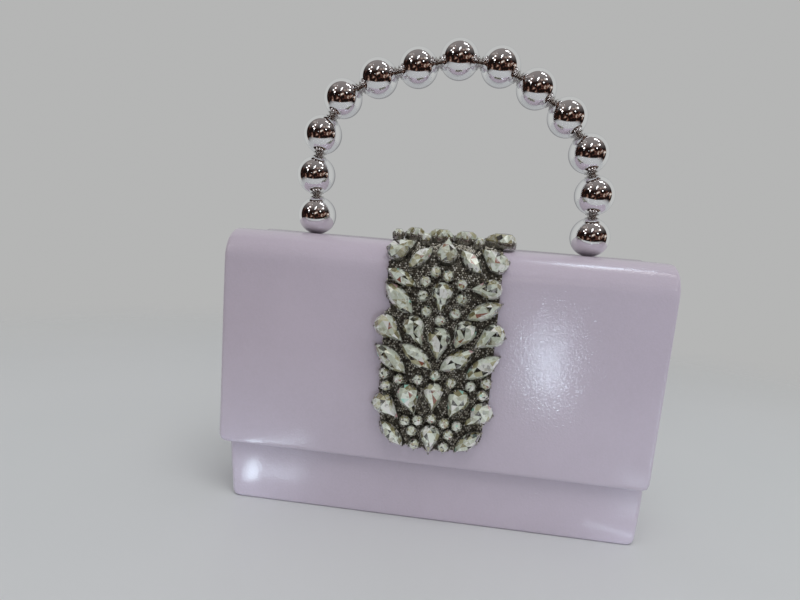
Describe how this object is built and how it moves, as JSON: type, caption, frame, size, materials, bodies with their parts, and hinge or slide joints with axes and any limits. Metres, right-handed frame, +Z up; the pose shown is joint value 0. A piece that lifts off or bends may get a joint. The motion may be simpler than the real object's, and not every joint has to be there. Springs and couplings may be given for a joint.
{
  "type": "evening bag",
  "caption": "Stiff box evening bag with a front flap hinged along the back top edge, a rhinestone applique over the flap and a rigid arch handle of chrome beads.",
  "frame": {"origin": "middle of the base, on the surface the bag stands on, below the plane of the handle", "axes": "+X to the bag's right as seen from the front, +Y from the flap's front to the back, +Z up"},
  "size_m": [0.216, 0.0591, 0.2419],
  "materials": {
    "patent_leather": "lilac patent, glossy with fine grain",
    "board": "matte fibre board",
    "lining_fabric": "satin weave",
    "snap_metal": "nickel plate",
    "gunmetal": "dark plated mesh of seed stones",
    "claw_metal": "antique silver plate",
    "crystal": "foil-backed cut glass",
    "bead_chrome": "mirror plate",
    "steel": "plain steel"
  },
  "bodies": {
    "body": {"front_leather": "patent_leather", "back_leather": "patent_leather", "base_leather": "patent_leather", "gusset_left": "patent_leather", "gusset_right": "patent_leather", "front_board": "board", "back_board": "board", "base_board": "board", "lining": "lining_fabric", "slip_pocket": "lining_fabric", "mouth_binding": "patent_leather", "hinge_strip": "patent_leather", "snap_socket": "snap_metal", "snap_socket_washer": "snap_metal"},
    "flap": {"flap_leather": "patent_leather", "flap_board": "board", "flap_lining": "lining_fabric", "snap_stud": "snap_metal", "snap_stud_washer": "snap_metal", "applique_mesh": "gunmetal", "round_settings": "claw_metal", "navette_settings": "claw_metal", "teardrop_settings": "claw_metal", "round_stones": "crystal", "navette_stones": "crystal", "teardrop_stones": "crystal", "handle_wire": "steel", "handle_washers": "steel", "handle_nuts": "steel", "bead_01": "bead_chrome", "bead_02": "bead_chrome", "bead_03": "bead_chrome", "bead_04": "bead_chrome", "bead_05": "bead_chrome", "bead_06": "bead_chrome", "bead_07": "bead_chrome", "bead_08": "bead_chrome", "bead_09": "bead_chrome", "bead_10": "bead_chrome", "bead_11": "bead_chrome", "bead_12": "bead_chrome", "bead_13": "bead_chrome", "spacer_01": "bead_chrome", "spacer_02": "bead_chrome", "spacer_03": "bead_chrome", "spacer_04": "bead_chrome", "spacer_05": "bead_chrome", "spacer_06": "bead_chrome", "spacer_07": "bead_chrome", "spacer_08": "bead_chrome", "spacer_09": "bead_chrome", "spacer_10": "bead_chrome", "spacer_11": "bead_chrome", "spacer_12": "bead_chrome"}
  },
  "joints": [
    {"name": "flap_hinge", "type": "hinge", "parent": "body", "child": "flap", "pos_m": [0, 0.021, 0.1365], "axis": [-1, 0, 0], "range_deg": [0, 110]}
  ]
}
